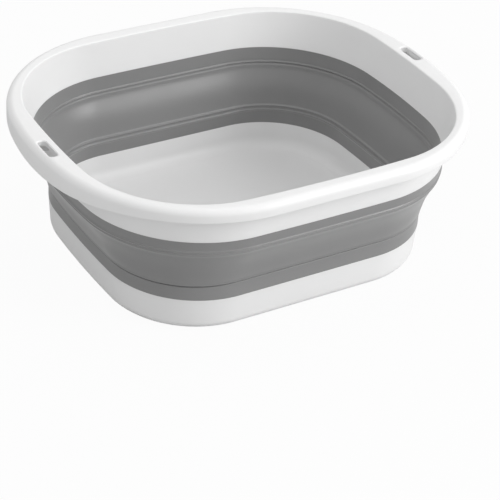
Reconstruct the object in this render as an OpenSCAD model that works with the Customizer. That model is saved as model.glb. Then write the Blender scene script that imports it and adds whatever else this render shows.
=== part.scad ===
// Collapsible washing up bowl.
// A stiff rim frame and a stiff base tray are joined by a soft wall that folds along two lines.
// The origin is at the middle of the footprint, on the surface the bowl stands on.
// X runs along the bowl from handle to handle, Y across it and Z up.
// The bowl is drawn open. To fold it, the rim slides down until the middle band has turned inside out.

/* [Overall size] */
// Length over the two handles
rim_length = 400; // [370:1:430]
// Width over the long sides of the rim
rim_width = 328; // [305:1:350]
// Height of the open bowl, from the floor to the top of the rim
bowl_height = 140; // [130:1:160]

/* [Rim] */
// Wall thickness of the stiff mouldings
stiff_wall = 2.3; // [1.8:0.1:3]
// Width of the rim flange on the long sides
side_flange = 14.7; // [13:0.1:18]
// Width of the rim flange at the handles
handle_flange = 20.4; // [18:0.1:24]
// Plan radius of the outside corners of the rim
rim_corner = 138; // [125:1:142]
// How far the handle ends bow out from corner to corner
handle_bow = 49.7; // [40:0.1:60]
// Plan radius of the mouth corners inside the flange
mouth_corner = 105; // [90:1:115]
// How far the long sides of the mouth bow out
mouth_side_bow = 9.7; // [4:0.1:14]
// How far the ends of the mouth bow out
mouth_end_bow = 12.6; // [8:0.1:20]
// Radius of the rolled outer edge of the flange
roll_radius = 6; // [4:0.1:7]
// Radius of the inner lip of the flange
lip_radius = 1.5; // [1:0.1:2]
// Drop of the skirt below the rim top on the long sides
side_skirt = 12; // [10:0.5:16]
// Drop of the skirt below the rim top at the middle of a handle
handle_skirt = 21; // [14:0.5:26]
// Rounding of the skirt's lower edge
skirt_edge = 0.7; // [0.4:0.1:0.9]
// How far the wall narrows at each end between the lip and the soft wall
end_taper = 6.8; // [4:0.1:9]
// How far the wall narrows at each long side between the lip and the soft wall
side_taper = 4.3; // [2:0.1:6]
// How much larger the corner radius is at the upper seam than at the mouth
seam_corner_gain = 3.8; // [0:0.1:6]
// How far the long sides of the upper seam bow out
seam_side_bow = 3.9; // [2:0.1:8]
// How far the ends of the upper seam bow out
seam_end_bow = 17.5; // [12:0.1:24]

/* [Handle slots] */
// Length of the hanging slot through each handle
slot_length = 27; // [20:0.5:36]
// Width of the hanging slot
slot_width = 8; // [6:0.1:9]
// Corner radius of the slot
slot_corner = 3.2; // [1:0.1:3.9]
// Distance of the slot from the middle of its handle, anticlockwise seen from above
slot_offset = 10; // [0:0.5:12]
// Depth of the collar round the slot, from the top of the flange
collar_depth = 5.5; // [4:0.1:8]
// Wall thickness of the collar
collar_wall = 1.5; // [1:0.1:2]
// Number of stiffening ribs under each handle
ribs_per_handle = 4; // [2:2:4]
// Thickness of a rib
rib_wall = 1.6; // [1.2:0.1:2]
// Distance from the collar to the first rib
rib_gap = 5; // [3:0.5:8]
// Spacing of the ribs on each side of the slot
rib_pitch = 22; // [14:1:24]
// How far the ribs stop above the skirt's lower edge
rib_rise = 6; // [3:0.5:10]

/* [Soft wall] */
// Thickness of the soft wall
soft_wall = 2.3; // [1.6:0.1:2.8]
// Depth of the stiff rim wall, from the rim top to the soft wall on the outside
rim_wall_depth = 40.3; // [36:0.1:44]
// Depth of the upper fold line below the rim top
upper_fold_depth = 51.8; // [50:0.1:56]
// Height of the folding band between its two fold lines
fold_height = 42; // [38:0.5:46]
// How far the lower fold line lies inside the upper one at each end
fold_step_end = 19.7; // [16:0.1:24]
// How far the lower fold line lies inside the upper one at each long side
fold_step_side = 16.3; // [14:0.1:20]
// How far the upper band narrows between the seam and the upper fold line
upper_band_taper = 0.9; // [0:0.1:2]
// Plan radius of the corners of the lower fold line
lower_fold_corner = 80; // [70:1:90]
// How far the long sides of the lower fold line bow out
lower_fold_side_bow = 0.8; // [0.2:0.1:3]
// How far the ends of the lower fold line bow out
lower_fold_end_bow = 10; // [7:0.1:14]
// Height of the soft lap inside each joint with a stiff moulding
lap_height = 4.5; // [3:0.1:6]
// Width of the relief at a fold line
fold_relief = 4; // [3:0.1:5]
// Depth of the groove on the side that closes up
groove_depth = 0.7; // [0.3:0.1:0.9]
// Height of the bead on the side that stretches
bead_height = 0.6; // [0.3:0.1:0.9]

/* [Base tray] */
// Height of the stiff tray wall, from the floor to the soft wall on the outside
tray_height = 33; // [30:0.5:36]
// How much wider the lower seam is than the lower fold line at each long side
tray_side_step = 2; // [0:0.1:3]
// Plan radius of the corners of the lower seam
tray_corner = 83.5; // [75:0.5:90]
// How far the long sides of the lower seam bow out
tray_side_bow = 0.5; // [0.2:0.1:2]
// How far the ends of the lower seam bow out
tray_end_bow = 8.6; // [6:0.1:12]
// How far the tray wall narrows from the seam down to its rounded edge
tray_taper = 1.5; // [0:0.1:3]
// Outside radius where the tray wall turns into its floor
base_edge = 8.5; // [6:0.5:14]
// Inside radius where the tray wall turns into its floor
base_cove = 12; // [8:0.5:18]
// Thickness of the tray floor
floor_wall = 2.5; // [2:0.1:3.5]
// Height of the foot ring under the tray
foot_height = 1.2; // [0.8:0.1:2]
// Width of the foot ring
foot_width = 5; // [4:0.5:8]
// Distance from the tray wall in to the foot ring
foot_inset = 13; // [10:0.5:18]

/* [Hidden] */
stiff_colour = [0.95, 0.95, 0.94];
soft_colour = [0.44, 0.45, 0.45];
$fn = 48;

// Steps along each arc of a quarter outline: half an end, a corner and half a long side
end_steps = 3;
corner_steps = 12;
side_steps = 4;
around = 4 * (end_steps + corner_steps + side_steps);
// Steps across a roll or a rounded edge of the section, across a small fillet and across half a fold relief
roll_steps = 4;
fillet_steps = 2;
relief_steps = 2;
// Bow of the rim's long sides, which look straight: every side needs an arc
straight_bow = 0.05;
// Fillet between the wall and the underside of the flange
flange_fillet = 2;
// How quickly the deep skirt of a handle runs out towards the long sides
skirt_shape = 2.5;
// How far one solid reaches into the next where both are one moulding
bite = 0.8;
// How far a cut runs past the face it opens
cut_over = 1;

// Heights above the floor
skin_z = bowl_height - stiff_wall;
roll_z = bowl_height - roll_radius;
upper_joint_z = bowl_height - rim_wall_depth;
upper_fold_z = bowl_height - upper_fold_depth;
lower_fold_z = upper_fold_z - fold_height;
floor_z = foot_height + floor_wall;
// Share of the folding band's height that the relief at one fold line takes
relief_share = fold_relief / 2 / fold_height;
// The slots lie along the middle of the handle flange
slot_x = rim_length / 2 - handle_flange / 2;

// A plan is [half length, half width, corner radius, long side radius, end radius].
// Each long side and each end is a shallow arc, given by how far it bows out.
function bow_radius(half, bow) = (half * half + bow * bow) / (2 * bow);
function plan(length, width, corner, side_bow, end_bow) =
    [length / 2, width / 2, corner, bow_radius(length / 2, side_bow), bow_radius(width / 2, end_bow)];

// The same plan with every edge moved out by a distance
function grow(p, distance) = [for (v = p) v + distance];

// The plan at a share of the way from one plan to another
function between(p, q, share) = [for (k = [0:4]) p[k] + (q[k] - p[k]) * share];

// Outlines of the seams and folds on the outside skin; the mouth is the inside of the lip
rim_plan = plan(rim_length, rim_width, rim_corner, straight_bow, handle_bow);
mouth_plan = plan(
    rim_length - 2 * handle_flange, rim_width - 2 * side_flange, mouth_corner, mouth_side_bow, mouth_end_bow
);
upper_joint_plan = plan(
    rim_length - 2 * (handle_flange + end_taper - stiff_wall),
    rim_width - 2 * (side_flange + side_taper - stiff_wall),
    mouth_corner + seam_corner_gain, seam_side_bow, seam_end_bow
);
upper_fold_plan = grow(upper_joint_plan, -upper_band_taper);
lower_fold_plan = plan(
    2 * (upper_fold_plan[0] - fold_step_end), 2 * (upper_fold_plan[1] - fold_step_side),
    lower_fold_corner, lower_fold_side_bow, lower_fold_end_bow
);
tray_joint_plan = plan(
    2 * lower_fold_plan[0], 2 * (lower_fold_plan[1] + tray_side_step), tray_corner, tray_side_bow, tray_end_bow
);
tray_plan = grow(tray_joint_plan, -tray_taper);

// Middle of the corner arc, which touches the long side's arc and the end's arc from inside
function corner_centre(p) =
    let (
        side_c = [0, p[1] - p[3]],
        end_c = [p[0] - p[4], 0],
        side_d = p[3] - p[2],
        end_d = p[4] - p[2],
        gap = end_c - side_c,
        dist = norm(gap),
        along = (side_d * side_d - end_d * end_d + dist * dist) / (2 * dist),
        off = sqrt(side_d * side_d - along * along),
        unit = gap / dist
    ) side_c + unit * along + [unit[1], -unit[0]] * off;

function arc(centre, radius, a0, a1, steps) =
    [for (i = [0:steps - 1])
        let (a = a0 + (a1 - a0) * i / steps)
        centre + radius * [cos(a), sin(a)]];

// A quarter of the outline, from the middle of the right end to just before the middle of the long side
function quarter(p) =
    let (
        c = corner_centre(p),
        end_a = atan2(c[1], c[0] - (p[0] - p[4])),
        side_a = atan2(c[1] - (p[1] - p[3]), c[0])
    ) concat(
        arc([p[0] - p[4], 0], p[4], 0, end_a, end_steps),
        arc(c, p[2], end_a, side_a, corner_steps),
        arc([0, p[1] - p[3]], p[3], side_a, 90, side_steps)
    );

function outline(p) =
    let (q = quarter(p), n = len(q))
    concat(
        q,
        [[0, p[1]]],
        [for (i = [n - 1:-1:1]) [-q[i][0], q[i][1]]],
        [for (v = q) [-v[0], -v[1]]],
        [[0, -p[1]]],
        [for (i = [n - 1:-1:1]) [q[i][0], -q[i][1]]]
    );

// One ring of a shell: a plan moved out by a distance, at one height
function ring(p, distance, z) = [for (v = outline(grow(p, distance))) [v[0], v[1], z]];

function reversed(list) = [for (k = [len(list) - 1:-1:0]) list[k]];

// Rings of a quarter round between a wall and the level surface at height z.
// Radius is positive where the round turns inwards, and side is 1 where the surface lies above the wall.
function round_rings(p, distance, radius, z, side, steps) =
    [for (k = [0:steps])
        let (a = 90 * k / steps)
        ring(p, distance - radius * (1 - cos(a)), z - side * abs(radius) * (1 - sin(a)))];

// Rings of half a fold relief that swells by a height at the fold line, z, and dies out above or below it
function relief_rings(p, distance, swell, z, side) =
    [for (k = [0:relief_steps])
        ring(p, distance + swell * cos(90 * k / relief_steps), z + side * fold_relief / 2 * k / relief_steps)];

// Rings of the stepped lap between a stiff and a soft wall, from the outside skin to the inside skin
function lap_rings(p, z, rise) =
    [
        ring(p, 0, z),
        ring(p, -stiff_wall / 2, z),
        ring(p, -stiff_wall / 2, z + rise),
        ring(p, -stiff_wall, z + rise)
    ];
upper_lap = lap_rings(upper_joint_plan, upper_joint_z, lap_height);
lower_lap = lap_rings(tray_joint_plan, tray_height, -lap_height);

// Two triangles between neighbouring points of two rings
function patch(r0, r1, i) =
    let (a = r0 * around, b = r1 * around, j = (i + 1) % around)
    [[a + i, b + i, b + j], [a + i, b + j, a + j]];
function strips(pairs) = [for (s = pairs, i = [0:around - 1], t = patch(s[0], s[1], i)) t];

// A closed band: the rings run once round the section, anticlockwise as seen on the right hand side
module band(rings) {
    n = len(rings);
    polyhedron(
        points = [for (r = rings, v = r) v],
        faces = strips([for (k = [0:n - 1]) [k, (k + 1) % n]])
    );
}

// A shell whose first ring is closed by the underside and whose last ring is closed by the floor
module dish(rings) {
    n = len(rings);
    polyhedron(
        points = [for (r = rings, v = r) v],
        faces = concat(
            [[for (i = [0:around - 1]) i]],
            strips([for (k = [0:n - 2]) [k, k + 1]]),
            [[for (i = [around - 1:-1:0]) (n - 1) * around + i]]
        )
    );
}

// Drop of the skirt at a distance across the bowl, deepest at the middle of a handle
function skirt_drop(y) =
    side_skirt + (handle_skirt - side_skirt) * pow(cos(90 * min(1, abs(y) / (rim_width / 2))), skirt_shape);

// A ring that follows the lower edge of the skirt
function skirt_ring(distance, up) =
    [for (v = outline(grow(rim_plan, distance))) [v[0], v[1], bowl_height - skirt_drop(v[1]) + up]];

module rim_shell() {
    band(concat(
        round_rings(mouth_plan, stiff_wall, -flange_fillet, skin_z, 1, fillet_steps),
        reversed(round_rings(rim_plan, -stiff_wall, roll_radius - stiff_wall, skin_z, 1, roll_steps)),
        [skirt_ring(-stiff_wall, skirt_edge)],
        [skirt_ring(-stiff_wall + skirt_edge, 0)],
        [skirt_ring(-skirt_edge, 0)],
        [skirt_ring(0, skirt_edge)],
        round_rings(rim_plan, 0, roll_radius, bowl_height, 1, roll_steps),
        reversed(round_rings(mouth_plan, 0, -lip_radius, bowl_height, 1, fillet_steps)),
        reversed(upper_lap)
    ));
}

// An upright block with rounded corners, between two heights
module rounded_block(size_x, size_y, corner, z0, z1) {
    translate([0, 0, z0]) {
        translate([-size_x / 2 + corner, -size_y / 2, 0]) cube([size_x - 2 * corner, size_y, z1 - z0]);
        translate([-size_x / 2, -size_y / 2 + corner, 0]) cube([size_x, size_y - 2 * corner, z1 - z0]);
        for (x = [-1, 1], y = [-1, 1])
            translate([x * (size_x / 2 - corner), y * (size_y / 2 - corner), 0])
                cylinder(r = corner, h = z1 - z0);
    }
}

// Where the end arc of a plan lies at a distance across the bowl
function end_x(p, y) = p[0] - p[4] + sqrt(p[4] * p[4] - y * y);

// Outside face of the rim's wall at a height, under a handle
function wall_x(y, z) =
    let (share = (skin_z - z) / (skin_z - upper_joint_z))
    end_x(grow(mouth_plan, stiff_wall), y) * (1 - share) + end_x(upper_joint_plan, y) * share;

// A rib under the handle, from the wall across to the skirt and up into the roll
module handle_rib(y) {
    low = bowl_height - skirt_drop(y) + rib_rise;
    rim_x = end_x(rim_plan, y);
    middle = roll_radius - stiff_wall / 2;
    translate([0, y + rib_wall / 2, 0])
        rotate([90, 0, 0])
            linear_extrude(rib_wall)
                polygon(concat(
                    [
                        [wall_x(y, skin_z) - bite, skin_z + bite],
                        [wall_x(y, low) - bite, low],
                        [rim_x - stiff_wall + bite, low]
                    ],
                    arc([rim_x - roll_radius, roll_z], middle, 0, 90, roll_steps),
                    [[rim_x - roll_radius, roll_z + middle]]
                ));
}

// The collar round the slot and the ribs on both sides of it, under the right hand handle
module handle_inside() {
    first_rib = slot_length / 2 + collar_wall + rib_gap;
    translate([slot_x, slot_offset, 0])
        rounded_block(
            slot_width + 2 * collar_wall, slot_length + 2 * collar_wall, slot_corner + collar_wall,
            bowl_height - collar_depth, skin_z + bite
        );
    for (k = [0:ribs_per_handle / 2 - 1], side = [-1, 1])
        handle_rib(slot_offset + side * (first_rib + k * rib_pitch));
}

module slot_cut() {
    translate([slot_x, slot_offset, 0])
        rounded_block(
            slot_width, slot_length, slot_corner, bowl_height - collar_depth - cut_over, bowl_height + cut_over
        );
}

// The second handle is the first one turned half a turn about the middle of the bowl
module both_handles() {
    children();
    rotate([0, 0, 180]) children();
}

module rim_frame() {
    color(stiff_colour)
    difference() {
        union() {
            rim_shell();
            both_handles() handle_inside();
        }
        both_handles() slot_cut();
    }
}

// Stays with the rim: lapped into the rim wall above, with half a bead and half a groove at its fold line
module wall_upper_band() {
    color(soft_colour)
    band(concat(
        relief_rings(upper_fold_plan, 0, bead_height, upper_fold_z, 1),
        upper_lap,
        reversed(relief_rings(upper_fold_plan, -soft_wall, groove_depth, upper_fold_z, 1))
    ));
}

// Turns inside out between the two fold lines
module wall_fold_band() {
    function at(share, distance) =
        ring(between(upper_fold_plan, lower_fold_plan, share), distance, upper_fold_z - fold_height * share);
    function near_upper(distance, swell) =
        [for (k = [0:relief_steps])
            at(relief_share * k / relief_steps, distance + swell * cos(90 * k / relief_steps))];
    function near_lower(distance, swell) =
        [for (k = [0:relief_steps])
            at(1 - relief_share * k / relief_steps, distance + swell * cos(90 * k / relief_steps))];
    color(soft_colour)
    band(concat(
        near_lower(0, -groove_depth),
        [at(0.5, 0)],
        reversed(near_upper(0, bead_height)),
        near_upper(-soft_wall, groove_depth),
        [at(0.5, -soft_wall)],
        reversed(near_lower(-soft_wall, -bead_height))
    ));
}

// Stays with the tray: lapped into the tray wall below, with half a groove and half a bead at its fold line
module wall_lower_band() {
    color(soft_colour)
    band(concat(
        reversed(relief_rings(lower_fold_plan, 0, -groove_depth, lower_fold_z, -1)),
        relief_rings(lower_fold_plan, -soft_wall, -bead_height, lower_fold_z, -1),
        reversed(lower_lap)
    ));
}

// The ring under the tray that the bowl stands on
module foot_ring() {
    linear_extrude(foot_height + bite)
        difference() {
            polygon(outline(grow(tray_plan, -foot_inset)));
            polygon(outline(grow(tray_plan, -foot_inset - foot_width)));
        }
}

module base_tray() {
    color(stiff_colour) {
        foot_ring();
        dish(concat(
            reversed(round_rings(tray_plan, 0, base_edge, foot_height, -1, roll_steps)),
            lower_lap,
            round_rings(tray_plan, -stiff_wall, base_cove, floor_z, -1, roll_steps)
        ));
    }
}

rim_frame();
wall_upper_band();
wall_fold_band();
wall_lower_band();
base_tray();
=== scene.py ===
"""Dresses the folding washing up bowl: smooth mouldings, two plastics, studio light and the photo's camera.

Lengths are in metres in the CAD frame: the origin is on the floor under the middle of the bowl, X runs
from handle to handle, Y across and Z up.
"""

import logging
import math
from dataclasses import dataclass, field
from enum import Enum
from typing import Any, Sequence

import bpy
import numpy as np
from mathutils import Matrix, Vector

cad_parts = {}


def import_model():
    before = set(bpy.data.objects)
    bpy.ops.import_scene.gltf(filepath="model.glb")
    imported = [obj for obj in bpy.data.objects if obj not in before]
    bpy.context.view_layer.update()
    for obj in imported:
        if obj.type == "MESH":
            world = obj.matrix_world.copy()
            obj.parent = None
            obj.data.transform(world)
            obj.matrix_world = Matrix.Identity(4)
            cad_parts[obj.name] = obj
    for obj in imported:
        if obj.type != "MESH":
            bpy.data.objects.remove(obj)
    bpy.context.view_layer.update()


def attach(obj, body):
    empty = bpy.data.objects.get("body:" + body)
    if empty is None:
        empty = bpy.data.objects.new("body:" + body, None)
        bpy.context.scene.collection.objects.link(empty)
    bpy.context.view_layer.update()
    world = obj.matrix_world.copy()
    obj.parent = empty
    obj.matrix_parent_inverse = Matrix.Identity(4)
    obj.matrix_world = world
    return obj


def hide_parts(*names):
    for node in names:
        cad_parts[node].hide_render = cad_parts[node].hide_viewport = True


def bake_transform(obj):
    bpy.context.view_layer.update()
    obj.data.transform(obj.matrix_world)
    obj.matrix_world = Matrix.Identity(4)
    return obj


log = logging.getLogger("washing_up_bowl")

MM = 0.001

# Edges that turn by more than these angles, in degrees, stay sharp on stiff and on soft pieces
CREASE_ANGLE = 32.0
SOFT_CREASE_ANGLE = 70.0

Point = tuple[float, float, float]
Ring = np.ndarray
Skin = tuple[np.ndarray, list[tuple[int, ...]]]


class Body(Enum):
    """The rigid bodies that a piece can ride on."""

    TRAY = "tray"
    RIM = "rim"


class Slot(Enum):
    """The record's material slots."""

    STIFF = "white_polypropylene"
    SOFT = "grey_elastomer"


# The standard curve between sRGB values and linear light
SRGB_TOP = 255
SRGB_KNEE = 0.04045
SRGB_SLOPE = 12.92
SRGB_OFFSET = 0.055
SRGB_POWER = 2.4


def srgb(code: str) -> tuple[float, float, float, float]:
    """Turns a six digit sRGB colour into linear values.

    Args:
        code: The colour as six hexadecimal digits.

    Returns:
        Linear red, green and blue, with an alpha of one.
    """
    channels = [int(code[k : k + 2], 16) / SRGB_TOP for k in (0, 2, 4)]
    linear = [
        c / SRGB_SLOPE if c <= SRGB_KNEE else ((c + SRGB_OFFSET) / (1 + SRGB_OFFSET)) ** SRGB_POWER
        for c in channels
    ]
    return (linear[0], linear[1], linear[2], 1.0)


# Plan outlines


@dataclass(frozen=True)
class Curves:
    """How an outline is rounded.

    Attributes:
        corner: Radius of the corner arcs.
        side_bow: How far the long sides bow out.
        end_bow: How far the ends bow out.
    """

    corner: float
    side_bow: float
    end_bow: float


@dataclass(frozen=True)
class PlanSteps:
    """How finely an outline is drawn: steps along half an end, a corner and half a long side."""

    end: int = 12
    corner: int = 56
    side: int = 22


@dataclass(frozen=True)
class Plan:
    """A rounded rectangle of tangent arcs whose long sides and ends bow out slightly.

    Attributes:
        half_length: Half the length along X.
        half_width: Half the width along Y.
        corner: Radius of the corner arcs.
        side_radius: Radius of the long sides.
        end_radius: Radius of the ends.
    """

    half_length: float
    half_width: float
    corner: float
    side_radius: float
    end_radius: float

    @staticmethod
    def bowed(length: float, width: float, curves: Curves) -> "Plan":
        """Makes a plan from overall sizes and how it is rounded.

        Args:
            length: Length along X.
            width: Width along Y.
            curves: The corner radius and the bows.

        Returns:
            The plan.
        """

        def radius(half: float, bow: float) -> float:
            """Returns the radius of an arc from half its chord and its rise."""
            return (half * half + bow * bow) / (2 * bow)

        side_radius = radius(length / 2, curves.side_bow)
        end_radius = radius(width / 2, curves.end_bow)
        return Plan(length / 2, width / 2, curves.corner, side_radius, end_radius)

    def values(self) -> tuple[float, float, float, float, float]:
        """Returns the five numbers that make the plan."""
        return (self.half_length, self.half_width, self.corner, self.side_radius, self.end_radius)

    def grow(self, distance: float) -> "Plan":
        """Returns the same plan with every edge moved out by a distance."""
        return Plan(*[v + distance for v in self.values()])

    def towards(self, other: "Plan", share: float) -> "Plan":
        """Returns the plan at a share of the way to another plan."""
        return Plan(*[a + (b - a) * share for a, b in zip(self.values(), other.values())])

    def corner_centre(self) -> np.ndarray:
        """Finds the middle of the corner arc that touches both neighbouring arcs from inside.

        Returns:
            The middle of the arc in the corner where X and Y are positive.
        """
        side = np.array([0.0, self.half_width - self.side_radius])
        end = np.array([self.half_length - self.end_radius, 0.0])
        side_reach, end_reach = self.side_radius - self.corner, self.end_radius - self.corner
        gap = end - side
        apart = float(np.hypot(*gap))
        along = (side_reach**2 - end_reach**2 + apart**2) / (2 * apart)
        off = math.sqrt(side_reach**2 - along**2)
        unit = gap / apart
        return side + unit * along + np.array([unit[1], -unit[0]]) * off

    def end_x(self, y: float) -> float:
        """Returns how far the right hand end reaches at a distance across the plan."""
        return self.half_length - self.end_radius + math.sqrt(self.end_radius**2 - y * y)

    def outline(self, steps: PlanSteps = PlanSteps()) -> np.ndarray:
        """Walks once round the plan, anticlockwise from the right hand end.

        Args:
            steps: How finely to draw it.

        Returns:
            The points, one row each.
        """
        centre = self.corner_centre()
        end_mid = np.array([self.half_length - self.end_radius, 0.0])
        side_mid = np.array([0.0, self.half_width - self.side_radius])
        end_angle = math.atan2(*(centre - end_mid)[::-1])
        side_angle = math.atan2(*(centre - side_mid)[::-1])
        arcs = (
            (end_mid, self.end_radius, 0.0, end_angle, steps.end),
            (centre, self.corner, end_angle, side_angle, steps.corner),
            (side_mid, self.side_radius, side_angle, math.pi / 2, steps.side),
        )
        rows = []
        for middle, radius, first, last, count in arcs:
            angles = first + (last - first) * np.arange(count) / count
            rows.append(middle + radius * np.stack([np.cos(angles), np.sin(angles)], axis=1))
        quarter = np.concatenate([*rows, [[0.0, self.half_width]]])
        half = np.concatenate([quarter, (quarter[:-1] * [-1, 1])[::-1]])
        return np.concatenate([half, (half * [1, -1])[::-1][1:-1]])


@dataclass(frozen=True)
class Ridge:
    """A small ridge that runs along a fold line.

    Attributes:
        place: Height of its crest above the fold line.
        height: How far its crest stands out.
        upper: Width of its upper side.
        lower: Width of its lower side.
    """

    place: float
    height: float
    upper: float
    lower: float

    @staticmethod
    def of_mm(place: float, height: float, upper: float, lower: float) -> "Ridge":
        """Makes a ridge from its four sizes in millimetres."""
        return Ridge(place * MM, height * MM, upper * MM, lower * MM)

    def stand(self, above: float) -> float:
        """Returns how far the ridge stands out at a height above the fold line."""
        width = self.upper if above > self.place else self.lower
        return self.height * math.exp(-(((above - self.place) / width) ** 2))


@dataclass(frozen=True)
class FoldRelief:
    """The section of one side of a fold line: a groove between small ridges.

    Attributes:
        groove: Depth of the groove at the fold line.
        groove_width: Half width of the groove.
        ridges: The ridges beside it.
    """

    groove: float
    groove_width: float
    ridges: tuple[Ridge, ...]

    def height(self, above: float) -> float:
        """Returns how far the surface stands out at a height above the fold line."""
        dip = self.groove * math.exp(-((above / self.groove_width) ** 2))
        return sum(ridge.stand(above) for ridge in self.ridges) - dip


UPPER_OUTSIDE = FoldRelief(
    groove=0.2 * MM,
    groove_width=0.6 * MM,
    ridges=(Ridge.of_mm(1.3, 0.8, 0.9, 0.9), Ridge.of_mm(-1.7, 0.8, 0.9, 2.4)),
)
UPPER_INSIDE = FoldRelief(
    groove=0.3 * MM,
    groove_width=0.4 * MM,
    ridges=(Ridge.of_mm(1.2, 1.0, 0.8, 0.6), Ridge.of_mm(-1.6, 1.0, 0.8, 2.4)),
)
LOWER_OUTSIDE = FoldRelief(
    groove=1.5 * MM,
    groove_width=0.55 * MM,
    ridges=(Ridge.of_mm(1.4, 0.5, 1.4, 0.6),),
)
LOWER_INSIDE = FoldRelief(
    groove=0.2 * MM,
    groove_width=0.9 * MM,
    ridges=(Ridge.of_mm(1.9, 1.2, 0.9, 0.6), Ridge.of_mm(-2.3, 1.1, 0.8, 1.8)),
)


def ring(plan: Plan, distance: float, height: float) -> Ring:
    """Lays a plan, moved out by a distance, at one height.

    Args:
        plan: The plan to follow.
        distance: How far out, negative for inwards.
        height: Height above the floor.

    Returns:
        The ring's points, one row each.
    """
    flat = plan.grow(distance).outline()
    return np.column_stack([flat, np.full(len(flat), height)])


def turn(start: float, stop: float, steps: int) -> list[float]:
    """Returns evenly spaced angles in radians between two angles in degrees, both ends included."""
    return [math.radians(start + (stop - start) * k / steps) for k in range(steps + 1)]


def quarter_round(radius: float, steps: int) -> list[tuple[float, float]]:
    """Follows a rounded edge through a quarter of a circle.

    Args:
        radius: Radius of the edge.
        steps: Steps round it.

    Returns:
        How far each point lies from the corner before it was rounded, first sideways, then up or down.
    """
    return [(radius * (1 - math.cos(a)), radius * (1 - math.sin(a))) for a in turn(0, 90, steps)]


# Meshes


def shade(mesh: Any, sharp_over: float = CREASE_ANGLE) -> None:
    """Shades a mesh smooth but keeps its true edges crisp.

    Args:
        mesh: The mesh.
        sharp_over: Edges that turn by more than this many degrees stay sharp.
    """
    mesh.shade_smooth()
    mesh.set_sharp_from_angle(angle=math.radians(sharp_over))


def mesh_object(
    name: str, points: np.ndarray, faces: Sequence[Sequence[int]], sharp_over: float = CREASE_ANGLE
) -> Any:
    """Makes a smooth shaded mesh object that keeps its true edges crisp.

    Args:
        name: Name of the object.
        points: Vertices, one row each.
        faces: Vertex numbers of each face.
        sharp_over: Edges that turn by more than this many degrees stay sharp.

    Returns:
        The new object, linked to the scene.
    """
    mesh = bpy.data.meshes.new(name)
    mesh.from_pydata([tuple(p) for p in points], [], [tuple(f) for f in faces])
    mesh.validate()
    mesh.update()
    shade(mesh, sharp_over)
    obj = bpy.data.objects.new(name, mesh)
    bpy.context.scene.collection.objects.link(obj)
    log.info("made %s: %d points, %d faces", name, len(points), len(faces))
    return obj


def loft(rings: Sequence[Ring], closed: bool) -> Skin:
    """Skins rings of equal point counts.

    Args:
        rings: The rings, in order along the section.
        closed: True if the last ring joins the first; otherwise both ends are capped.

    Returns:
        The points and the faces.
    """
    count, around = len(rings), len(rings[0])
    faces: list[tuple[int, ...]] = []
    for k in range(count if closed else count - 1):
        low, high = k * around, (k + 1) % count * around
        for i in range(around):
            j = (i + 1) % around
            faces.append((low + i, low + j, high + j, high + i))
    if not closed:
        faces.append(tuple(range(around - 1, -1, -1)))
        faces.append(tuple((count - 1) * around + i for i in range(around)))
    return np.concatenate(rings), faces


def rounded_rectangle(size_x: float, size_y: float, corner: float, steps: int = 10) -> np.ndarray:
    """Draws a rounded rectangle about the origin.

    Args:
        size_x: Size along X.
        size_y: Size along Y.
        corner: Radius of the corners.
        steps: Steps round each corner.

    Returns:
        The points, anticlockwise, one row each.
    """
    rows = []
    for quadrant, (sx, sy) in enumerate(((1, 1), (-1, 1), (-1, -1), (1, -1))):
        centre = np.array([sx * (size_x / 2 - corner), sy * (size_y / 2 - corner)])
        angles = np.array(turn(90 * quadrant, 90 * quadrant + 90, steps))
        rows.append(centre + corner * np.stack([np.cos(angles), np.sin(angles)], axis=1))
    return np.concatenate(rows)


# Sizes


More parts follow.
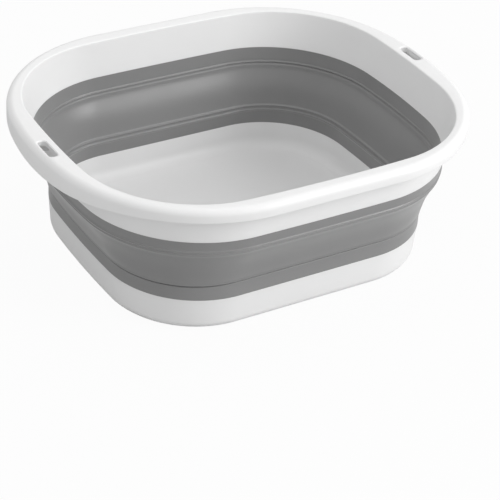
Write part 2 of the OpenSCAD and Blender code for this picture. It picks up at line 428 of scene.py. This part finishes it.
@dataclass(frozen=True)
class BowlSizes:
    """The bowl's driving dimensions, in metres, with the values of the part's source.

    A flange, a taper, a fold step and an inset are measured inwards in plan, the tray's side step outwards,
    a depth down from the rim's top, and a height upwards. The skirt's shape is the power of its cosine.
    """

    length: float = 400 * MM
    width: float = 328 * MM
    height: float = 140 * MM
    stiff_wall: float = 2.3 * MM
    soft_wall: float = 2.3 * MM
    side_flange: float = 14.7 * MM
    handle_flange: float = 20.4 * MM
    roll_radius: float = 6 * MM
    lip_radius: float = 1.5 * MM
    side_skirt: float = 12 * MM
    handle_skirt: float = 21 * MM
    skirt_edge: float = 0.7 * MM
    skirt_shape: float = 2.5
    end_taper: float = 6.8 * MM
    side_taper: float = 4.3 * MM
    rim_wall_depth: float = 40.3 * MM
    upper_fold_depth: float = 51.8 * MM
    fold_height: float = 42 * MM
    fold_step_end: float = 19.7 * MM
    fold_step_side: float = 16.3 * MM
    lap_height: float = 4.5 * MM
    tray_height: float = 33 * MM
    base_edge: float = 8.5 * MM
    base_cove: float = 12 * MM
    floor_wall: float = 2.5 * MM
    foot_height: float = 1.2 * MM
    foot_width: float = 5 * MM
    foot_inset: float = 13 * MM
    upper_band_taper: float = 0.9 * MM
    tray_side_step: float = 2 * MM
    tray_taper: float = 1.5 * MM
    rim_curves: Curves = Curves(corner=138 * MM, side_bow=0.05 * MM, end_bow=49.7 * MM)
    mouth_curves: Curves = Curves(corner=105 * MM, side_bow=9.7 * MM, end_bow=12.6 * MM)
    seam_curves: Curves = Curves(corner=108.8 * MM, side_bow=3.9 * MM, end_bow=17.5 * MM)
    lower_fold_curves: Curves = Curves(corner=80 * MM, side_bow=0.8 * MM, end_bow=10 * MM)
    tray_curves: Curves = Curves(corner=83.5 * MM, side_bow=0.5 * MM, end_bow=8.6 * MM)

    @property
    def rim_plan(self) -> Plan:
        """Outermost outline of the rim."""
        return Plan.bowed(self.length, self.width, self.rim_curves)

    @property
    def mouth_plan(self) -> Plan:
        """Inside of the lip."""
        length = self.length - 2 * self.handle_flange
        return Plan.bowed(length, self.width - 2 * self.side_flange, self.mouth_curves)

    @property
    def upper_joint_plan(self) -> Plan:
        """Outside skin where the rim's wall meets the soft wall.

        Returns:
            The plan, from the mouth, the taper of the wall and its thickness.
        """
        length = self.length - 2 * (self.handle_flange + self.end_taper) + 2 * self.stiff_wall
        width = self.width - 2 * (self.side_flange + self.side_taper) + 2 * self.stiff_wall
        return Plan.bowed(length, width, self.seam_curves)

    @property
    def upper_fold_plan(self) -> Plan:
        """Outside skin at the upper fold line."""
        return self.upper_joint_plan.grow(-self.upper_band_taper)

    @property
    def lower_fold_plan(self) -> Plan:
        """Outside skin at the lower fold line.

        Returns:
            The plan, from the upper fold line and the steps inwards.
        """
        upper = self.upper_fold_plan
        length = 2 * (upper.half_length - self.fold_step_end)
        width = 2 * (upper.half_width - self.fold_step_side)
        return Plan.bowed(length, width, self.lower_fold_curves)

    @property
    def tray_joint_plan(self) -> Plan:
        """Outside skin where the soft wall meets the tray.

        Returns:
            The plan, as long as the lower fold line and a step wider on each side.
        """
        lower = self.lower_fold_plan
        width = 2 * lower.half_width + 2 * self.tray_side_step
        return Plan.bowed(2 * lower.half_length, width, self.tray_curves)

    @property
    def tray_plan(self) -> Plan:
        """Outside skin of the tray just above its rounded edge."""
        return self.tray_joint_plan.grow(-self.tray_taper)

    @property
    def upper_joint_z(self) -> float:
        """Height of the upper seam on the outside."""
        return self.height - self.rim_wall_depth

    @property
    def upper_fold_z(self) -> float:
        """Height of the upper fold line."""
        return self.height - self.upper_fold_depth

    @property
    def lower_fold_z(self) -> float:
        """Height of the lower fold line."""
        return self.upper_fold_z - self.fold_height

    @property
    def floor_z(self) -> float:
        """Height of the tray's floor."""
        return self.foot_height + self.floor_wall

    def skirt_drop(self, y: np.ndarray) -> np.ndarray:
        """Works out how far the skirt hangs below the rim's top.

        Args:
            y: Distances across the bowl from its middle.

        Returns:
            The drop at each distance, deepest in the middle of a handle.
        """
        share = np.clip(np.abs(y) / (self.width / 2), 0, 1)
        deep = np.power(np.cos(share * math.pi / 2), self.skirt_shape)
        return self.side_skirt + (self.handle_skirt - self.side_skirt) * deep

    def half_lap(self, joint: Plan, height: float, rise: float) -> list[Ring]:
        """Draws the step of a half lap between a stiff wall and the soft one.

        Args:
            joint: Outside skin at the seam.
            height: Height of the seam on the outside.
            rise: How far higher the seam lies on the inside, negative for lower.

        Returns:
            The rings from the outside to the inside.
        """
        half = self.stiff_wall / 2
        steps = ((0, height), (half, height), (half, height + rise), (self.stiff_wall, height + rise))
        return [ring(joint, -inwards, z) for inwards, z in steps]


@dataclass(frozen=True)
class SlotSizes:
    """The hanging slot in each handle and what stiffens it underneath.

    Attributes:
        length: Length of the slot, across the bowl.
        width: Width of the slot, along the bowl.
        corner: Radius of its corners in plan.
        edge: Radius of its rounded top edge.
        edge_steps: Steps round that edge.
        cut_above: How far its cutter stands above the flange.
        cut_below: How far its cutter hangs below the collar.
        collar_depth: Depth of the collar's lower edge below the rim's top.
        collar_wall: Wall of the collar.
        offset: How far the slot lies off the middle of its handle.
        ribs_per_side: Ribs on each side of a slot.
        rib_wall: Thickness of a rib.
        rib_gap: Gap between the collar and the middle of the first rib.
        rib_pitch: Distance from one rib to the next.
        rib_rise: Height of a rib's lower edge above the skirt's.
        rib_bite: How far a rib runs into the walls that it joins.
        rib_roll_steps: Steps of a rib's upper edge round the roll.
    """

    length: float = 27 * MM
    width: float = 8 * MM
    corner: float = 3.2 * MM
    edge: float = 2.1 * MM
    edge_steps: int = 5
    cut_above: float = 2 * MM
    cut_below: float = 3 * MM
    collar_depth: float = 5.5 * MM
    collar_wall: float = 1.5 * MM
    offset: float = 10 * MM
    ribs_per_side: int = 2
    rib_wall: float = 1.6 * MM
    rib_gap: float = 5 * MM
    rib_pitch: float = 22 * MM
    rib_rise: float = 6 * MM
    rib_bite: float = 0.6 * MM
    rib_roll_steps: int = 4

    def outline(self, out: float) -> np.ndarray:
        """Returns the slot's outline about the origin, moved out by a distance."""
        return rounded_rectangle(self.width + 2 * out, self.length + 2 * out, self.corner + out)


# Materials


# Socket numbers of the colour Mix and Mix Shader nodes, which have several sockets of one name
MIX_FACTOR, MIX_FIRST, MIX_SECOND, MIX_RESULT = 0, 6, 7, 2
FIRST_SHADER, SECOND_SHADER = 1, 2

WHITE = (1.0, 1.0, 1.0, 1.0)

# Red, green and blue travel equally far under the skin, because the plastic is a neutral white
EVEN_SCATTER = (1.0, 1.0, 1.0)


def add_node(tree: Any, kind: str, links: dict[str | int, Any] | None = None, **settings: Any) -> Any:
    """Adds one shader node.

    Args:
        tree: The node tree.
        kind: Blender's name for the node.
        links: Input socket name or number to the output socket that feeds it.
        settings: Node attributes, or values of input sockets with spaces written as underscores.

    Returns:
        The new node.
    """
    node = tree.nodes.new(kind)
    for key, value in settings.items():
        if hasattr(node, key):
            setattr(node, key, value)
        else:
            node.inputs[key.replace("_", " ")].default_value = value
    for name, source in (links or {}).items():
        tree.links.new(source, node.inputs[name])
    return node


def empty_tree(owner: Any) -> Any:
    """Turns on the nodes of a material or world and clears them.

    Args:
        owner: The material or world.

    Returns:
        Its empty node tree.
    """
    owner.use_nodes = True
    owner.node_tree.nodes.clear()
    return owner.node_tree


def by_ray(tree: Any, camera: float, others: float) -> Any:
    """Adds a value that differs between what the camera sees and what lights the bowl.

    Args:
        tree: The node tree.
        camera: The value for rays from the camera.
        others: The value for all other rays.

    Returns:
        The output socket of the value.
    """
    path = add_node(tree, "ShaderNodeLightPath")
    ray = {"Value": path.outputs["Is Camera Ray"]}
    return add_node(tree, "ShaderNodeMapRange", ray, To_Min=others, To_Max=camera).outputs[0]


@dataclass(frozen=True)
class MouldedFinish:
    """A moulded plastic: its colour, its gloss and the texture that the mould leaves.

    Attributes:
        name: What the material is and how its surface was made.
        colour: sRGB colour of the plastic.
        shade: sRGB colour that slow flow patches lean towards.
        roughness: Mean surface roughness.
        roughness_spread: How far the roughness wanders.
        ior: Index of refraction of the polymer.
        grain: Size of the mould texture's grains, in metres.
        grain_depth: Height of the mould texture, in metres.
        patch: Size of the slow patches that melt flow leaves, in metres.
        glow: Share of light that scatters under the skin.
        glow_depth: How far that light travels, in metres.
        sheen: Strength of the soft haze on an elastomer.
        sheen_roughness: Spread of that haze.
        flow_detail: Octaves of the slow patches.
        flow_roughness: How strong the finer octaves are.
        flow_range: Values of the slow patches between which the roughness wanders.
        grain_detail: Octaves of the mould texture.
    """

    name: str
    colour: str
    shade: str
    roughness: float
    roughness_spread: float
    ior: float
    grain: float
    grain_depth: float
    patch: float
    glow: float = 0.0
    glow_depth: float = 2 * MM
    sheen: float = 0.0
    sheen_roughness: float = 0.4
    flow_detail: float = 3.0
    flow_roughness: float = 0.55
    flow_range: tuple[float, float] = (0.3, 0.7)
    grain_detail: float = 2.0

    def build(self) -> Any:
        """Makes the Blender material.

        Returns:
            The material.
        """
        material = bpy.data.materials.new(self.name)
        tree = empty_tree(material)
        place = add_node(tree, "ShaderNodeTexCoord").outputs["Object"]
        flow = add_node(
            tree,
            "ShaderNodeTexNoise",
            {"Vector": place},
            Scale=1 / self.patch,
            Detail=self.flow_detail,
            Roughness=self.flow_roughness,
        )
        grain = add_node(
            tree, "ShaderNodeTexNoise", {"Vector": place}, Scale=1 / self.grain, Detail=self.grain_detail
        )
        tint = add_node(tree, "ShaderNodeMix", {MIX_FACTOR: flow.outputs["Fac"]}, data_type="RGBA")
        tint.inputs[MIX_FIRST].default_value = srgb(self.colour)
        tint.inputs[MIX_SECOND].default_value = srgb(self.shade)
        gloss = add_node(
            tree,
            "ShaderNodeMapRange",
            {"Value": flow.outputs["Fac"]},
            From_Min=self.flow_range[0],
            From_Max=self.flow_range[1],
            To_Min=self.roughness - self.roughness_spread,
            To_Max=self.roughness + self.roughness_spread,
        )
        bump = add_node(
            tree,
            "ShaderNodeBump",
            {"Height": grain.outputs["Fac"]},
            Strength=1.0,
            Distance=self.grain_depth,
        )
        shader = add_node(
            tree,
            "ShaderNodeBsdfPrincipled",
            {
                "Base Color": tint.outputs[MIX_RESULT],
                "Roughness": gloss.outputs[0],
                "Normal": bump.outputs[0],
            },
            IOR=self.ior,
            Subsurface_Weight=self.glow,
            Subsurface_Radius=EVEN_SCATTER,
            Subsurface_Scale=self.glow_depth,
            Sheen_Weight=self.sheen,
            Sheen_Roughness=self.sheen_roughness,
        )
        add_node(tree, "ShaderNodeOutputMaterial", {"Surface": shader.outputs[0]})
        return material


# Injection moulded polypropylene, from a finely spark eroded mould: satin, and slightly milky at its edges.
# The grain is drawn coarser than such a mould leaves, so that it shows at all.
POLYPROPYLENE = MouldedFinish(
    name="polypropylene_injection_moulded_satin",
    colour="e8e8e8",
    shade="e5e5e5",
    roughness=0.4,
    roughness_spread=0.04,
    ior=1.49,
    grain=0.45 * MM,
    grain_depth=0.012 * MM,
    patch=60 * MM,
    glow=0.3,
)

# Thermoplastic elastomer, moulded over the stiff plastic in a matt mould: a soft and slightly hazy skin.
# The grain is again drawn coarser than the real one.
ELASTOMER = MouldedFinish(
    name="elastomer_overmoulded_matt",
    colour="838383",
    shade="7f7f7f",
    roughness=0.33,
    roughness_spread=0.04,
    ior=1.5,
    grain=0.3 * MM,
    grain_depth=0.015 * MM,
    patch=45 * MM,
    sheen=0.35,
)


@dataclass(frozen=True)
class Finishes:
    """The scene's built materials."""

    stiff: Any = field(default_factory=POLYPROPYLENE.build)
    soft: Any = field(default_factory=ELASTOMER.build)


def dress(obj: Any, material: Any) -> Any:
    """Gives a piece its material.

    Args:
        obj: The piece.
        material: The material to use.

    Returns:
        The same piece.
    """
    obj.data.materials.clear()
    obj.data.materials.append(material)
    return obj


# Pieces


@dataclass
class RimMoulding:
    """The stiff rim: flange, rolled edge, skirt, handles with slots, and the upper wall.

    Attributes:
        sizes: The bowl's sizes.
        slot: Sizes of the slots, collars and ribs.
        roll_steps: Steps round the rolled edge.
        dish: How far the flange's inner edge lies below its outer one.
        turn_down: Distance in from the roll, and drop, where the flange starts to slope.
        fillet: Radius under the flange where it meets the wall.
        fillet_steps: Steps round that fillet.
        lip_steps: Steps round the lip.
        edge_steps: Steps round each half of the skirt's lower edge.
    """

    sizes: BowlSizes
    slot: SlotSizes = field(default_factory=SlotSizes)
    roll_steps: int = 14
    dish: float = 0.7 * MM
    turn_down: tuple[float, float] = (0.8 * MM, 0.05 * MM)
    fillet: float = 2 * MM
    fillet_steps: int = 5
    lip_steps: int = 6
    edge_steps: int = 4

    def slot_middle(self, side: int) -> np.ndarray:
        """Returns the middle of a slot in plan; the left handle is the right one turned half a turn."""
        return side * np.array([self.sizes.length / 2 - self.sizes.handle_flange / 2, self.slot.offset])

    def slot_ring(self, side: int, out: float, height: float) -> Ring:
        """Returns a ring that follows a slot's outline, moved out by a distance, at one height."""
        flat = self.slot.outline(out)
        return np.column_stack([flat + self.slot_middle(side), np.full(len(flat), height)])

    def skirt_ring(self, distance: float, up: float) -> Ring:
        """Returns a ring that follows the lower edge of the skirt."""
        flat = self.sizes.rim_plan.grow(distance).outline()
        return np.column_stack([flat, self.sizes.height - self.sizes.skirt_drop(flat[:, 1]) + up])

    def roll(self, radius: float, inset: float) -> list[Ring]:
        """Draws the rolled edge.

        Args:
            radius: Radius of the roll.
            inset: Distance in from the rim's outermost outline.

        Returns:
            The rings from the skirt up to the top of the flange.
        """
        s = self.sizes
        centre_z = s.height - s.roll_radius
        return [
            ring(s.rim_plan, -inset - radius * (1 - math.cos(a)), centre_z + radius * math.sin(a))
            for a in turn(0, 90, self.roll_steps)
        ]

    def skirt_edge_rings(self) -> list[Ring]:
        """Draws the rounded lower edge of the skirt.

        Returns:
            The rings from its inside to its outside.
        """
        edge = quarter_round(self.sizes.skirt_edge, self.edge_steps)
        inner = [self.skirt_ring(-self.sizes.stiff_wall + inwards, up) for inwards, up in edge]
        outer = [self.skirt_ring(-inwards, up) for inwards, up in reversed(edge)]
        return inner + outer

    def shell(self) -> Skin:
        """Draws the moulding without its slots.

        Returns:
            The points and the faces.
        """
        s = self.sizes
        skin, lip_top = s.height - s.stiff_wall, s.height - self.dish
        fillet = quarter_round(self.fillet, self.fillet_steps)
        edge = quarter_round(s.lip_radius, self.lip_steps)
        under = [ring(s.mouth_plan, s.stiff_wall + out, skin - down) for out, down in fillet]
        lip = [ring(s.mouth_plan, out, lip_top - down) for out, down in reversed(edge)]
        lap = s.half_lap(s.upper_joint_plan, s.upper_joint_z, s.lap_height)
        reach, drop = self.turn_down
        rings = [
            lap[0],
            *under,
            *reversed(self.roll(s.roll_radius - s.stiff_wall, s.stiff_wall)),
            *self.skirt_edge_rings(),
            *self.roll(s.roll_radius, 0),
            ring(s.rim_plan, -s.roll_radius - reach, s.height - drop),
            *lip,
            *reversed(lap[1:]),
        ]
        return loft(rings, closed=True)

    def slot_cutter(self, side: int) -> Any:
        """Makes the solid that cuts one slot, flared where the slot's top edge is rounded.

        Args:
            side: 1 for the right hand handle, -1 for the left.

        Returns:
            The cutter object.
        """
        top, edge = self.sizes.height, quarter_round(self.slot.edge, self.slot.edge_steps)
        rings = [
            self.slot_ring(side, 0, top - self.slot.collar_depth - self.slot.cut_below),
            *(self.slot_ring(side, out, top - down) for out, down in edge),
            self.slot_ring(side, self.slot.edge, top + self.slot.cut_above),
        ]
        return mesh_object(f"slot_cutter_{side}", *loft(rings, closed=False))

    def collar(self, side: int) -> Any:
        """Makes the collar that hangs round a slot under the flange.

        Args:
            side: 1 for the right hand handle, -1 for the left.

        Returns:
            The collar object.
        """
        top = self.sizes.height - self.sizes.stiff_wall / 2
        bottom = self.sizes.height - self.slot.collar_depth
        outer = self.slot.collar_wall
        corners = ((0, top), (0, bottom), (outer, bottom), (outer, top))
        rings = [self.slot_ring(side, out, height) for out, height in corners]
        return mesh_object(f"slot_collar_{side}", *loft(rings, closed=True))

    def rib(self, side: int, y: float, name: str) -> Any:
        """Makes one stiffening rib between the wall and the skirt.

        Args:
            side: 1 for the right hand handle, -1 for the left.
            y: Where the rib stands across the bowl.
            name: Name of the object.

        Returns:
            The rib object.
        """
        s, bite = self.sizes, self.slot.rib_bite
        skin = s.height - s.stiff_wall
        low = s.height - float(s.skirt_drop(np.array(y))) + self.slot.rib_rise
        mouth_x = s.mouth_plan.grow(s.stiff_wall).end_x(y)
        rim_x = s.rim_plan.end_x(y)
        share = (skin - low) / (skin - s.upper_joint_z)
        low_x = mouth_x * (1 - share) + s.upper_joint_plan.end_x(y) * share
        section = [(mouth_x - bite, skin + bite), (low_x - bite, low), (rim_x - s.stiff_wall + bite, low)]
        middle = s.roll_radius - s.stiff_wall / 2
        for a in turn(0, 90, self.slot.rib_roll_steps):
            x = rim_x - s.roll_radius + middle * math.cos(a)
            section.append((x, s.height - s.roll_radius + middle * math.sin(a)))
        points = [(side * x, y + t * self.slot.rib_wall / 2, z) for t in (-1, 1) for x, z in section]
        count = len(section)
        faces: list[tuple[int, ...]] = [tuple(range(count)), tuple(range(2 * count - 1, count - 1, -1))]
        faces += [(i, i + count, (i + 1) % count + count, (i + 1) % count) for i in range(count)]
        return mesh_object(name, np.array(points), faces)

    def cut_slots(self, shell: Any) -> None:
        """Cuts both slots through the moulding.

        Args:
            shell: The moulding, which keeps its name and gets a new mesh.
        """
        cutters = [self.slot_cutter(side) for side in (1, -1)]
        for cutter in cutters:
            cut = shell.modifiers.new(cutter.name, "BOOLEAN")
            cut.operation, cut.solver, cut.object = "DIFFERENCE", "EXACT", cutter
        bpy.context.view_layer.update()
        evaluated = shell.evaluated_get(bpy.context.evaluated_depsgraph_get())
        cut_mesh = bpy.data.meshes.new_from_object(evaluated)
        shell.modifiers.clear()
        shell.data = cut_mesh
        shade(cut_mesh)
        for cutter in cutters:
            bpy.data.objects.remove(cutter)

    def build(self, finishes: Finishes) -> None:
        """Makes the rim and everything moulded on it.

        Args:
            finishes: The scene's materials.
        """
        shell = mesh_object("rim_moulding", *self.shell())
        self.cut_slots(shell)
        pieces = [shell]
        first = self.slot.length / 2 + self.slot.collar_wall + self.slot.rib_gap
        for side in (1, -1):
            pieces.append(self.collar(side))
            for k in range(self.slot.ribs_per_side):
                for across in (1, -1):
                    y = side * (self.slot.offset + across * (first + k * self.slot.rib_pitch))
                    pieces.append(self.rib(side, y, f"handle_rib_{side}_{k}_{across}"))
        for piece in pieces:
            dress(piece, finishes.stiff)
            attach(piece, Body.RIM.value)
        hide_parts("rim_frame")


@dataclass
class FoldingWall:
    """The soft wall: a band that stays with the rim, one that turns over and one that stays with the tray.

    Attributes:
        sizes: The bowl's sizes.
        reach: Distance from a fold line to where its relief ends.
        relief_steps: Rings across that distance.
        middle_steps: Rings across the rest of the band that turns over.
        hollow: How far the band that turns over bows inwards.
        upper_outside: Relief of the upper fold line on the outside.
        upper_inside: Relief of the upper fold line on the inside.
        lower_outside: Relief of the lower fold line on the outside.
        lower_inside: Relief of the lower fold line on the inside.
    """

    sizes: BowlSizes
    reach: float = 4.5 * MM
    relief_steps: int = 24
    middle_steps: int = 24
    hollow: float = 1.5 * MM
    upper_outside: FoldRelief = UPPER_OUTSIDE
    upper_inside: FoldRelief = UPPER_INSIDE
    lower_outside: FoldRelief = LOWER_OUTSIDE
    lower_inside: FoldRelief = LOWER_INSIDE

    def near(self) -> list[float]:
        """Returns distances from a fold line out to where its relief ends."""
        return [self.reach * k / self.relief_steps for k in range(self.relief_steps + 1)]

    def upper_band(self) -> Skin:
        """Draws the band above the upper fold line.

        Returns:
            The points and the faces.
        """
        s = self.sizes
        fold = s.upper_fold_plan
        outer = [ring(fold, self.upper_outside.height(d), s.upper_fold_z + d) for d in self.near()]
        inner = [
            ring(fold, -s.soft_wall - self.upper_inside.height(d), s.upper_fold_z + d) for d in self.near()
        ]
        lap = s.half_lap(s.upper_joint_plan, s.upper_joint_z, s.lap_height)
        return loft([*outer, *lap, *reversed(inner)], closed=True)

    def fold_band(self) -> Skin:
        """Draws the band between the fold lines, with enough rings to bend.

        Returns:
            The points and the faces.
        """
        s = self.sizes
        h = s.fold_height
        spread = h - 2 * self.reach
        middle = [self.reach + spread * k / self.middle_steps for k in range(1, self.middle_steps)]
        drops = [*self.near(), *middle, *(h - d for d in reversed(self.near()))]
        outer, inner = [], []
        for d in drops:
            plan = s.upper_fold_plan.towards(s.lower_fold_plan, d / h)
            inwards = self.hollow * math.sin(math.pi * d / h) ** 2
            out = self.upper_outside.height(-d) + self.lower_outside.height(h - d)
            back = self.upper_inside.height(-d) + self.lower_inside.height(h - d)
            outer.append(ring(plan, out - inwards, s.upper_fold_z - d))
            inner.append(ring(plan, -s.soft_wall - back - inwards, s.upper_fold_z - d))
        return loft([*reversed(outer), *inner], closed=True)

    def lower_band(self) -> Skin:
        """Draws the band below the lower fold line.

        Returns:
            The points and the faces.
        """
        s = self.sizes
        fold = s.lower_fold_plan
        outer = [ring(fold, self.lower_outside.height(-d), s.lower_fold_z - d) for d in self.near()]
        inner = [
            ring(fold, -s.soft_wall - self.lower_inside.height(-d), s.lower_fold_z - d) for d in self.near()
        ]
        lap = s.half_lap(s.tray_joint_plan, s.tray_height, -s.lap_height)
        return loft([*reversed(lap), *reversed(outer), *inner], closed=True)

    def build(self, finishes: Finishes) -> None:
        """Makes the three bands.

        Args:
            finishes: The scene's materials.
        """
        upper = mesh_object("soft_upper_band", *self.upper_band(), sharp_over=SOFT_CREASE_ANGLE)
        fold = mesh_object("soft_fold_band", *self.fold_band(), sharp_over=SOFT_CREASE_ANGLE)
        lower = mesh_object("soft_lower_band", *self.lower_band(), sharp_over=SOFT_CREASE_ANGLE)
        for piece in (upper, fold, lower):
            dress(piece, finishes.soft)
        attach(upper, Body.RIM.value)
        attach(lower, Body.TRAY.value)
        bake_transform(fold)
        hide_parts("wall_upper_band")
        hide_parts("wall_fold_band")
        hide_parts("wall_lower_band")


@dataclass
class TrayMoulding:
    """The stiff base tray with its rounded edge, coved floor and foot ring.

    Attributes:
        sizes: The bowl's sizes.
        edge_steps: Steps round the outer edge and the cove.
        foot_sink: How far the foot ring runs up into the floor.
        foot_edge: Bevel at the foot ring's lower edges.
    """

    sizes: BowlSizes
    edge_steps: int = 12
    foot_sink: float = 0.5 * MM
    foot_edge: float = 0.3 * MM

    def dish(self) -> Skin:
        """Draws the tray without its foot ring.

        Returns:
            The points and the faces.
        """
        s = self.sizes
        edge = quarter_round(s.base_edge, self.edge_steps)
        cove = quarter_round(s.base_cove, self.edge_steps)
        outside = [ring(s.tray_plan, -inwards, s.foot_height + up) for inwards, up in reversed(edge)]
        inside = [ring(s.tray_plan, -s.stiff_wall - inwards, s.floor_z + up) for inwards, up in cove]
        lap = s.half_lap(s.tray_joint_plan, s.tray_height, -s.lap_height)
        return loft([*outside, *lap, *inside], closed=False)

    def foot_ring(self) -> Skin:
        """Draws the ring that the bowl stands on.

        Returns:
            The points and the faces.
        """
        s, bevel = self.sizes, self.foot_edge
        outer, inner = -s.foot_inset, -s.foot_inset - s.foot_width
        top = s.foot_height + self.foot_sink
        section = (
            (outer, top),
            (outer, bevel),
            (outer - bevel, 0),
            (inner + bevel, 0),
            (inner, bevel),
            (inner, top),
        )
        return loft([ring(s.tray_plan, out, z) for out, z in reversed(section)], closed=True)

    def build(self, finishes: Finishes) -> None:
        """Makes the tray.

        Args:
            finishes: The scene's materials.
        """
        dish = mesh_object("base_tray_moulding", *self.dish())
        foot = mesh_object("base_foot_ring", *self.foot_ring())
        for piece in (dish, foot):
            dress(piece, finishes.stiff)
            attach(piece, Body.TRAY.value)
        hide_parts("base_tray")


# Studio


@dataclass(frozen=True)
class PhotoCamera:
    """The photograph's viewpoint, as fitted to the bowl's outlines.

    Attributes:
        azimuth: Heading of the view, in degrees.
        elevation: How far the view looks down, in degrees.
        roll: How far the view is tilted, in degrees.
        lens: Focal length in millimetres.
        sensor: Width of the sensor in millimetres.
        place: Place of the camera from the middle of the rim's top, in metres.
        near: Nearest distance that it sees, in metres.
        far: Farthest distance that it sees, in metres.
    """

    azimuth: float = -32.82
    elevation: float = 33.35
    roll: float = 4.22
    lens: float = 126.15
    sensor: float = 36.0
    place: Point = (-0.7195, -1.1496, 0.7337)
    near: float = 0.05
    far: float = 50.0

    def build(self, rim_height: float) -> None:
        """Adds the camera.

        Args:
            rim_height: Height of the rim's top, from which the place was measured.
        """
        azimuth, elevation, roll = (math.radians(v) for v in (self.azimuth, self.elevation, self.roll))
        flat = math.cos(elevation)
        forward = Vector((-math.sin(azimuth) * flat, math.cos(azimuth) * flat, -math.sin(elevation)))
        level = forward.cross(Vector((0, 0, 1))).normalized()
        upright = level.cross(forward)
        right = level * math.cos(roll) + upright * math.sin(roll)
        up = upright * math.cos(roll) - level * math.sin(roll)
        data = bpy.data.cameras.new("photo_camera")
        data.lens, data.sensor_width = self.lens, self.sensor
        data.clip_start, data.clip_end = self.near, self.far
        camera = bpy.data.objects.new("photo_camera", data)
        place = Matrix.Translation(Vector(self.place) + Vector((0, 0, rim_height)))
        camera.matrix_world = place @ Matrix((right, up, -forward)).transposed().to_4x4()
        bpy.context.scene.collection.objects.link(camera)
        bpy.context.scene.camera = camera


@dataclass(frozen=True)
class SoftLight:
    """One large soft lamp that faces the bowl.

    Attributes:
        name: Name of the lamp.
        place: Where it hangs, in metres.
        size: Diameter of its disk, in metres.
        power: Power in watts.
        aim: The point that it faces, at about half the bowl's height.
    """

    name: str
    place: Point
    size: float
    power: float
    aim: Point = (0.0, 0.0, 0.07)

    def build(self) -> None:
        """Adds the lamp."""
        data = bpy.data.lights.new(self.name, "AREA")
        data.shape, data.size, data.energy = "DISK", self.size, self.power
        lamp = bpy.data.objects.new(self.name, data)
        facing = (Vector(self.aim) - Vector(self.place)).to_track_quat("-Z", "Y").to_matrix().to_4x4()
        lamp.matrix_world = Matrix.Translation(Vector(self.place)) @ facing
        bpy.context.scene.collection.objects.link(lamp)


@dataclass
class Studio:
    """A white product studio: pale floor, white background, soft key lamp and weak top lamp.

    Attributes:
        surround: Brightness of the even light from all round.
        floor_size: Side of the square floor, in metres.
        floor_paint: sRGB colour of the floor, as the bowl sees it.
        contact: Share of the floor's own shading that the camera sees, which shows the contact shadow.
        lights: The lamps.
    """

    surround: float = 0.81
    floor_size: float = 12.0
    floor_paint: str = "cccccc"
    contact: float = 0.05
    lights: tuple[SoftLight, ...] = (
        SoftLight(name="key_right_front", place=(1.49, -1.54, 1.16), size=1.3, power=31.0),
        SoftLight(name="top", place=(0.0, 0.0, 2.4), size=1.3, power=4.0),
    )

    def backdrop(self) -> Any:
        """Makes the floor's material: white to the camera, with a trace of the contact shadow.

        Returns:
            The material.
        """
        material = bpy.data.materials.new("studio_floor_white")
        tree = empty_tree(material)
        paint = add_node(tree, "ShaderNodeBsdfDiffuse", Color=srgb(self.floor_paint))
        glow = add_node(tree, "ShaderNodeEmission", Color=WHITE, Strength=1.0)
        share = by_ray(tree, camera=1 - self.contact, others=0.0)
        mix = add_node(
            tree,
            "ShaderNodeMixShader",
            {"Fac": share, FIRST_SHADER: paint.outputs[0], SECOND_SHADER: glow.outputs[0]},
        )
        add_node(tree, "ShaderNodeOutputMaterial", {"Surface": mix.outputs[0]})
        return material

    def world(self) -> None:
        """Sets an even surround that the camera sees as white."""
        world = bpy.data.worlds.new("studio_surround")
        bpy.context.scene.world = world
        tree = empty_tree(world)
        strength = by_ray(tree, camera=1.0, others=self.surround)
        light = add_node(tree, "ShaderNodeBackground", {"Strength": strength}, Color=WHITE)
        add_node(tree, "ShaderNodeOutputWorld", {"Surface": light.outputs[0]})

    def build(self) -> None:
        """Adds floor, surround and lamps."""
        half = self.floor_size / 2
        corners = np.array([(-half, -half, 0), (half, -half, 0), (half, half, 0), (-half, half, 0)])
        floor = mesh_object("studio_floor", corners, [(0, 1, 2, 3)])
        floor.data.materials.append(self.backdrop())
        self.world()
        for light in self.lights:
            light.build()
        bpy.context.scene.view_settings.view_transform = "Standard"


def main() -> None:
    """Builds the scene."""
    logging.basicConfig(level=logging.INFO, format="%(name)s: %(message)s")
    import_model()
    sizes = BowlSizes()
    PhotoCamera().build(sizes.height)
    finishes = Finishes()
    RimMoulding(sizes).build(finishes)
    FoldingWall(sizes).build(finishes)
    TrayMoulding(sizes).build(finishes)
    Studio().build()


if __name__ == "__main__":
    main()
